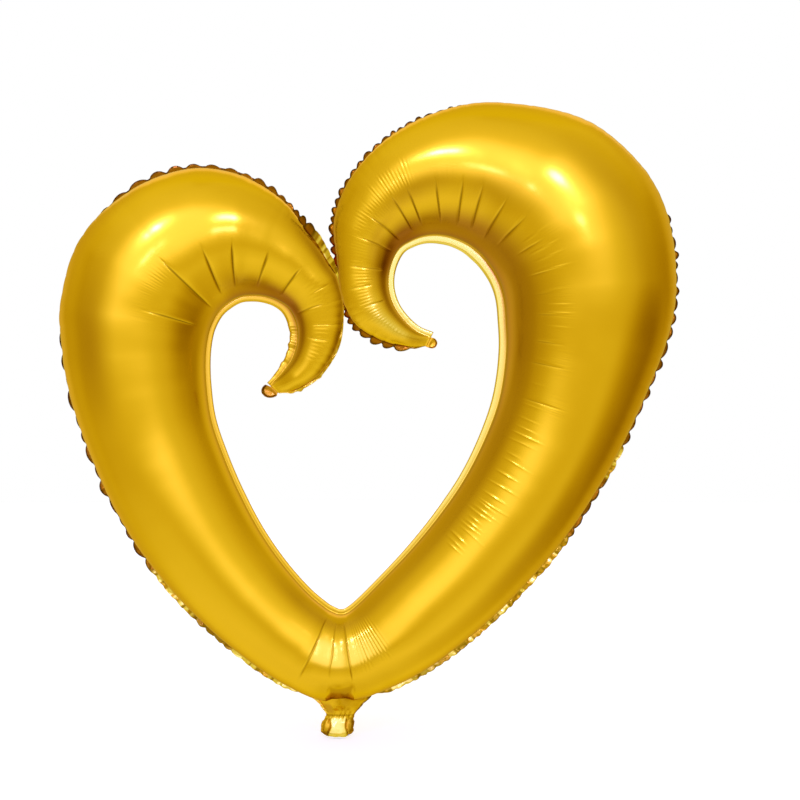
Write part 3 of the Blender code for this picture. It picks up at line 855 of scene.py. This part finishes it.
def build_neck(name, side, seed, material):
    count = 120
    heights = np.concatenate([
        np.linspace(57 if side > 0 else 66, 33, int(count * .36), endpoint=False),
        np.linspace(33, 26, int(count * .2), endpoint=False),
        np.linspace(26, 0.4, int(count * .44))])
    z, across = np.meshgrid(heights, np.linspace(-1, 1, int(count * .84)), indexing="ij")
    left_x, right_x, half_depth = (straight(heights, pairs)[:, None]
                                   for pairs in (NECK_LEFT, NECK_RIGHT, NECK_DEPTH))
    x = (left_x + right_x) / 2 + (right_x - left_x) / 2 * across
    off = np.abs(across)
    profile = np.clip(1 - (off / 0.87) ** 2.4, 0, 1) ** 0.75
    tail = ease(31, 24, z)
    funnel = ease(30, 36, z)
    # gathers fanning out of the throat
    gathers = tooth(across * 3.2 + 0.5 * noise1(across * 2.3, seed) + 0.25 * seed) - 0.5
    pleats = gathers * 1.9 * hump(z - THROAT, 9.0) * profile ** 0.4
    folds = ((3.4 * tail + 1.5 * funnel * ease(52, 44, z))
             * crumple(x + 2.0 * noise1(z / 6.0, seed), z, 9.5, seed + 3) * profile ** 0.5)
    folds = folds + 0.45 * tail * crumple(x, z, 4.6, seed + 13) * profile ** 0.5
    lean = np.zeros_like(z)
    facet = np.zeros_like(z)
    if side < 0:
        # a facet in the middle of the tail that leans up, narrower at its waist, between two folds
        waist = 2.6 * hump(z - 15, 6.0)
        left_fold = -58.0 + waist + 0.12 * (z - 15)
        right_fold = -31.0 - waist * 0.7 - 0.10 * (z - 15)
        for fold_x in (left_fold, right_fold):
            lean -= 1.5 * np.exp(-(np.abs(x - fold_x) / 1.1) ** 1.3) * tail * ease(1, 4, z)
        facet = ease(left_fold, left_fold + 2.0, x) * ease(right_fold, right_fold - 2.0, x)
        lean += facet * tail * (2.8 * (1 - z / 30.0) - 0.6)
        folds = folds * (1 - 0.62 * facet * tail)
        pleats = pleats * (1 - 0.8 * facet * tail)
        # the film runs straight up from the throat into the hollow of the tube
        middle = hump(x - NECK_X, 14.5)
        lean += middle * np.maximum(straight(z, THROAT_RISE) - half_depth, 0.0)
        folds = folds * (1 - 0.7 * middle * ease(50, 60, z))
    else:
        middle = 0.35
    depth = half_depth * profile + (pleats + folds + lean) * np.clip(profile * 4, 0, 1)
    depth = 0.75 + np.maximum(depth, 0.0)

    # welded margin down both edges, both plies together; the left one comes forward above the throat
    left = np.clip((-across - 0.80) / 0.20, 0, 1)
    right = np.clip((across - 0.84) / 0.16, 0, 1)
    edge = np.maximum(left, right)
    above = ease(31, 37, z)
    wave = 1.1 * (tooth(z / 5.2 + 0.3 * noise1(z / 9.0, 5)) * 2 - 1)
    margin = left * (1.6 + wave - 3.2 * above) + right * (4.6 + 0.8 * wave)
    x = x + (right - left) * (0.7 * noise1(z / 3.1, 8) + 0.6 * noise1(z / 6.5, 9))
    ragged_z = z + ease(6, 0, z) * (1.1 * noise1(x / 6.0, seed + 9) + 1.1)
    outside = np.stack([x, side * (depth * (1 - edge) + 0.45 * edge) + margin, ragged_z], axis=-1)
    inside = outside.copy()
    inside[:, :, 1] -= side * (0.10 + 0.18 * (1 - edge))

    # painted shadow along the right margin, at the throat, and in the tail's lower left corner and
    # right side
    dark = (0.25 * right + 0.55 * right * above
            + 0.30 * ease(1.0, 0.4, np.abs(z - THROAT) / 1.6))
    lower_left = ease(-52, -62, x - 0.9 * z) * ease(11, 6, z)
    dark = np.maximum(dark, 0.75 * tail * lower_left)
    dark = np.maximum(dark, 0.30 * tail * ease(.45, .8, across))
    # painted shade in the pocket and funnel above the throat, on the tail around its middle facet,
    # and in a streak on the funnel
    from_middle = x - NECK_X
    rising = np.clip(0.02 + 0.26 * ease(40, 56, z) + 0.34 * ease(0, 11, from_middle), 0, 1)
    shade = above * middle * rising + 0.35 * tail * (1 - facet)
    streak = ease(8, 3, np.abs(from_middle + 14 + 0.35 * (z - 40))) * ease(52, 44, z)
    shade = np.maximum(shade, above * 0.5 * streak)
    # painted highlight on the left margin above the throat, on the tail's middle facet and along its
    # bottom edge
    pale = 0.7 * left * above + 0.8 * facet * tail + 0.7 * ease(2.4, 1.0, z) * ease(.9, .6, off)
    return closed_sheet(name, outside, inside, material, film_masks(dark, pale, shade))


neck_gold = gold("gold_film_neck", rough=0.2)
for (word, side), seed in zip(SIDES, (2, 5)):
    neck = build_neck(f"neck_film_{word}", side, seed, neck_gold)
    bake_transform(neck)
    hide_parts(f"neck_tail_{word}")


# ---------------------------------------------------------------- tabs
def build_tab(word, hinge, direction, centre, half_axes, turn, neck, dish, tint, darkening, seed):
    """A hook's welded end: an oval tab, dished and a little crumpled.

    Its oval lies round centre, turned by turn. Above the hinge it narrows into the hook's tip,
    to neck on either side; direction points from the hinge down the tab.
    """
    name = f"{word}_tab_film"
    row_count, column_count = ((60, 52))
    down_x, down_z = direction
    side_x, side_z = -down_z, down_x
    half_long, half_short = half_axes
    cosine, sine = math.cos(turn), math.sin(turn)
    # the oval, measured from the hinge down the tab and to its side
    angle = np.linspace(0, 2 * math.pi, 2001)
    long_part, short_part = half_long * np.cos(angle), half_short * np.sin(angle)
    oval_x = centre[0] + long_part * cosine - short_part * sine - hinge[0]
    oval_z = centre[1] + long_part * sine + short_part * cosine - hinge[1]
    oval_down = oval_x * down_x + oval_z * down_z
    oval_side = oval_x * side_x + oval_z * side_z
    end = oval_down.max() - 0.05
    # stations along the tab, closer together at its round end
    stations = -6 + (end + 6) * (1 - (1 - np.linspace(0, 1, row_count)) ** 1.5)
    low, high = np.full(row_count, -neck), np.full(row_count, neck)
    for i, station in enumerate(stations):
        near = np.abs(oval_down - station) < 0.25
        if near.any():
            k = float(ease(-1.5, 3.0, station))
            low[i] = oval_side[near].min() * k - neck * (1 - k)
            high[i] = oval_side[near].max() * k + neck * (1 - k)
    low[-1] *= 0.9
    high[-1] *= 0.9
    down, across = np.meshgrid(stations, np.linspace(-1, 1, column_count), indexing="ij")
    sideways = (low + high)[:, None] / 2 + (high - low)[:, None] / 2 * across
    x = hinge[0] + down_x * down + side_x * sideways
    z = hinge[1] + down_z * down + side_z * sideways

    from_x, from_z = x - centre[0], z - centre[1]
    radius = np.hypot((from_x * cosine + from_z * sine) / half_long,
                      (-from_x * sine + from_z * cosine) / half_short)
    radius = np.clip(np.where(down > 2, radius, np.abs(across)), 0, 1)
    body = ease(0, 4, down)
    bead = ease(0.70, 0.97, radius) * body
    y = dish * body * (1 - radius ** 2) + 1.1 * crumple(x, z, 4.6, seed) * body * (1 - bead * 0.6)
    y = y - 1.5 * bead
    # a raised bead round the edge, and thin film inside it
    half_thick = 0.20 + 0.55 * bead * ease(1.0, 0.93, radius)
    # darker all over, and more so towards the bead round the edge
    dark = darkening * (0.10 + 0.90 * ease(0.55, 0.95, radius)) * body + 0.25 * darkening
    tab = closed_sheet(name, np.stack([x, y - half_thick, z], axis=-1),
                       np.stack([x, y + half_thick, z], axis=-1),
                       gold(f"gold_{name}", tint=tint, rough=0.24),
                       film_masks(np.clip(dark, 0, 1)))
    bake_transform(tab)
    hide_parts(f"{word}_hook_tab")


build_tab("left", hinge=(-134.47, 485.53), direction=(-math.sqrt(0.5), -math.sqrt(0.5)),
          centre=(-138.4, 485.6), half_axes=(13.2, 10.4), turn=0.12, neck=6.5, dish=1.6,
          tint=(0.60, 0.27, 0.004), darkening=0.62, seed=61)
build_tab("right", hinge=(84.13, 552.43), direction=(2 / math.sqrt(5), -1 / math.sqrt(5)),
          centre=(86.2, 552.0), half_axes=(8.4, 7.6), turn=-0.4, neck=7.5, dish=1.0,
          tint=(0.70, 0.37, 0.004), darkening=0.35, seed=67)

# ---------------------------------------------------------------- valve
# Two plies of clear film welded along both edges, with loose lips inside the tube.
VALVE_HALF_WIDTH = 14.0
valve_clear = clear_film("clear_valve_film")


def valve_sheet(name, side, bottom, top, spread, seed):
    """One ply from bottom to top; spread (0 or 1) opens it towards the top."""
    rows = int(abs(top - bottom) / (0.9)) + 2
    z, across = np.meshgrid(np.linspace(bottom, top, rows), np.linspace(-1, 1, 26), indexing="ij")
    x = NECK_X + VALVE_HALF_WIDTH * across
    up = (z - bottom) / (top - bottom)
    weld = ease(0.82, 0.95, np.abs(across))
    ripple = 0.07 * noise2(x / 5.0, z / 7.0, seed) * (1 - weld)
    opening = spread * 5.0 * up ** 1.6 * (1 - across ** 2) ** 0.7
    corner_drop = spread * 2.5 * ease(0.9, 1.0, up) * across ** 2
    y = side * (0.30 + ripple + opening - 0.12 * weld)
    inside = np.stack([x, y, z - corner_drop], axis=-1)
    outside = inside.copy()
    outside[:, :, 1] += side * 0.12
    return closed_sheet(name, inside, outside, valve_clear)


for (word, side), seed in zip(SIDES, (71, 75)):
    inlet = valve_sheet(f"valve_film_{word}", side, bottom=2.4, top=52.9, spread=0.0, seed=seed)
    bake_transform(inlet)
    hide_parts(f"valve_inlet_{word}", f"valve_throat_{word}")
    lip = valve_sheet(f"valve_lip_film_{word}", side, bottom=53.1, top=140.0, spread=1.0,
                      seed=seed + 2)
    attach(lip, f"valve_{word}")
    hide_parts(f"valve_lip_{word}")

# ---------------------------------------------------------------- studio
# Directions are in degrees: azimuth 0 is straight in front and grows to the right.
# elevation and brightness of the room at the sides and in front
SIDE_LEVELS = [
    (-90, .62), (-75, .95), (-60, 1.12), (-46, 1.07), (-34, .82), (-15, .57), (0, .49), (22, .60),
    (36, .78), (50, .98), (62, 1.04), (78, 1.0), (90, .84)]
FRONT_LEVELS = [
    (-90, .56), (-76, .80), (-62, 1.02), (-42, 1.13), (-30, 1.0), (-17, .79), (-6, .90), (0, 1.0),
    (15, 1.06), (36, 1.1), (50, 1.1), (62, 1.06), (76, 1.0), (90, .85)]
# angle aside and the share of the front levels, then of the even level behind
FRONT_SHARE = [
    (0, 1.0), (30, .95), (45, .76), (58, .5), (75, .28), (92, .04), (100, 0.0), (180, 0.0)]
BACK_SHARE = [(0, 0.0), (116, 0.0), (130, .32), (140, .76), (151, 1.0), (180, 1.0)]
BACK_LEVEL = 0.98
BOX_LEVEL, REAR_BOX_LEVEL = 0.66, 0.7
# round patches: azimuth, elevation, radius at full strength, radius at none, brightness added
PATCHES = [
    (100, -14, 12, 50, -0.10), (80, -34, 12, 40, -0.34), (-142, -4, 6, 26, 0.22),
    (-114, 0, 14, 36, 0.15), (140, 14, 6, 26, 0.20), (180, 6, 3, 26, -0.36),
    (70, 52, 8, 34, -0.14)]


def build_world():
    """A pale studio: a wide softbox in front, a smaller one behind, dimmer warm sides."""
    room = bpy.data.worlds.new("studio")
    bpy.context.scene.world = room
    room.use_nodes = True
    tree = room.node_tree
    tree.nodes.clear()
    output = add_node(tree, "OutputWorld")
    generated = add_node(tree, "TexCoord").outputs["Generated"]
    ray = add_node(tree, "VectorMath", {0: generated}, operation="NORMALIZE").outputs[0]
    ray_x, ray_y, ray_z = add_node(tree, "SeparateXYZ", {0: ray}).outputs

    def calc(operation, *values):
        return math_node(tree, operation, *values)

    def levels(value, low, high, stops):
        """Brightness by (value, level) stops; the colour ramp holds levels over the greatest."""
        node = add_node(tree, "ValToRGB")
        ramp = node.color_ramp
        ramp.interpolation = "EASE"
        while len(ramp.elements) < len(stops):
            ramp.elements.new(0.5)
        top = max(level for _, level in stops)
        places = sorted(((x - low) / (high - low), level / top) for x, level in stops)
        for element, (x, _) in zip(ramp.elements, places):
            element.position = x
        for element, (_, level) in zip(ramp.elements, places):
            element.color = (level, level, level, 1)
        inputs = {"From Min": low, "From Max": high, "Value": value}
        feed(tree, node, {"Fac": add_node(tree, "MapRange", inputs).outputs[0]})
        return calc("MULTIPLY", node.outputs["Color"], float(top))

    def edge(value, start, stop):
        inputs = {"From Min": start, "From Max": stop, "Value": value}
        return add_node(tree, "MapRange", inputs, interpolation_type="SMOOTHSTEP").outputs[0]

    def patch(patch_azimuth, patch_elevation, inner, outer, level):
        turn, lift = math.radians(patch_azimuth), math.radians(patch_elevation)
        centre = (math.sin(turn) * math.cos(lift), -math.cos(turn) * math.cos(lift),
                  math.sin(lift))
        dot = add_node(tree, "VectorMath", {0: ray, 1: centre}, operation="DOT_PRODUCT")
        spot = edge(dot.outputs["Value"], math.cos(math.radians(outer)),
                    math.cos(math.radians(inner)))
        return calc("MULTIPLY", spot, level)

    forward = calc("MULTIPLY", ray_y, -1.0)
    azimuth = calc("MULTIPLY", calc("ARCTAN2", ray_x, forward), 180 / math.pi)
    elevation = calc("MULTIPLY", calc("ARCSINE", ray_z), 180 / math.pi)

    sides = levels(elevation, -90, 90, SIDE_LEVELS)
    front = levels(elevation, -90, 90, FRONT_LEVELS)
    aside = calc("ABSOLUTE", calc("ADD", azimuth, -6.0))
    front_share = levels(aside, 0, 180, FRONT_SHARE)
    back_share = levels(calc("ABSOLUTE", azimuth), 0, 180, BACK_SHARE)
    total = calc("ADD", sides, calc("MULTIPLY", front_share, calc("SUBTRACT", front, sides)))
    total = calc("ADD", total,
                 calc("MULTIPLY", back_share, calc("SUBTRACT", BACK_LEVEL, sides)))
    # the softbox in front, and a smaller one behind
    box = calc("MULTIPLY",
               calc("MULTIPLY", edge(azimuth, -52, -22), edge(azimuth, 40, 10)),
               calc("MULTIPLY", edge(elevation, -13, 4), edge(elevation, 54, 36)))
    total = calc("ADD", total, calc("MULTIPLY", box, BOX_LEVEL))
    rear = calc("MULTIPLY", edge(calc("ABSOLUTE", azimuth), 148, 156),
                calc("MULTIPLY", edge(elevation, 12, 24), edge(elevation, 50, 40)))
    total = calc("ADD", total, calc("MULTIPLY", rear, REAR_BOX_LEVEL))
    for entry in PATCHES:
        total = calc("ADD", total, patch(*entry))
    total = calc("MAXIMUM", total, 0.02)

    # dim parts are warm: more red, less blue, and less blue again behind
    red = calc("MAXIMUM", calc("POWER", total, 0.72), total)
    lost_blue = calc("MULTIPLY", edge(calc("ABSOLUTE", azimuth), 100, 148), 0.68)
    kept_blue = calc("SUBTRACT", 1.0, lost_blue)
    blue = calc("MULTIPLY", calc("MULTIPLY", calc("POWER", total, 3.3), 1.15), kept_blue)
    colour = add_node(tree, "CombineColor", {0: red, 1: total, 2: blue}).outputs[0]
    gloss = add_node(tree, "Background", {"Color": colour}).outputs[0]
    # what diffuse surfaces see: the same room, neutral
    neutral = calc("ADD", calc("MULTIPLY", total, 0.5), 0.45)
    plain = add_node(tree, "Background", {"Strength": neutral}).outputs[0]
    backdrop = add_node(tree, "Background", {"Color": (1, 1, 1, 1)}).outputs[0]
    path = add_node(tree, "LightPath").outputs
    lit = add_node(tree, "MixShader", {0: path["Is Diffuse Ray"], 1: gloss, 2: plain}).outputs[0]
    seen = add_node(tree, "MixShader", {0: path["Is Camera Ray"], 1: lit, 2: backdrop})
    feed(tree, output, {"Surface": seen.outputs[0]})


# strong in blue, which the gold film hardly reflects
LAMP_COLOUR = (1.0, 0.94, 12.0, 1)
LAMP_TARGET = Vector((0, 0, 0.5))


def lamp(name, place, radius, level):
    """A small round lamp that only shows as a highlight on the film."""
    data = bpy.data.lights.new(name, "AREA")
    data.shape = "DISK"
    data.size = 2 * radius
    data.energy = 4 * math.pi * radius ** 2 * level
    data.use_nodes = True
    data.node_tree.nodes["Emission"].inputs["Color"].default_value = LAMP_COLOUR
    made = bpy.data.objects.new(name, data)
    bpy.context.scene.collection.objects.link(made)
    made.location = place
    made.rotation_euler = (LAMP_TARGET - Vector(place)).to_track_quat("-Z", "Y").to_euler()
    made.visible_camera = made.visible_diffuse = made.visible_transmission = False


def build_floor(radius=7, height=-0.002, count=96):
    mesh = bpy.data.meshes.new("floor")
    angles = [2 * math.pi * k / count for k in range(count)]
    ring = [(radius * math.cos(angle), radius * math.sin(angle), height) for angle in angles]
    mesh.from_pydata(ring, [], [tuple(range(count))])
    floor = bpy.data.objects.new("floor", mesh)
    bpy.context.scene.collection.objects.link(floor)
    material, tree, shader = new_material("pale_floor")
    feed(tree, shader, {"Base Color": (0.6, 0.6, 0.6, 1), "Roughness": 1.0,
                        "Specular IOR Level": 0.0, "Emission Color": (1, 1, 1, 1),
                        "Emission Strength": 0.6})
    mesh.materials.append(material)
    floor.visible_glossy = floor.visible_diffuse = floor.visible_shadow = False


def build_camera():
    """Level camera straight in front."""
    data = bpy.data.cameras.new("camera")
    data.sensor_width = 36.0
    data.lens = 96.4
    data.clip_start = 0.1
    data.clip_end = 60.0
    camera = bpy.data.objects.new("camera", data)
    bpy.context.scene.collection.objects.link(camera)
    camera.location = (0.0424, -3.0, 0.4720)
    camera.rotation_euler = (math.radians(90), 0, 0)
    bpy.context.scene.camera = camera


build_world()
lamp("lamp_left", place=(-0.96, -2.0, 2.0), radius=0.135, level=20)
lamp("lamp_right", place=(0.30, -0.98, 1.20), radius=0.078, level=13)
lamp("lamp_left_low", place=(-0.60, -2.25, 1.14), radius=0.10, level=4.5)
lamp("lamp_right_low", place=(0.37, -1.27, 0.86), radius=0.075, level=4.5)
build_floor()
build_camera()
bpy.context.scene.view_settings.view_transform = "Standard"
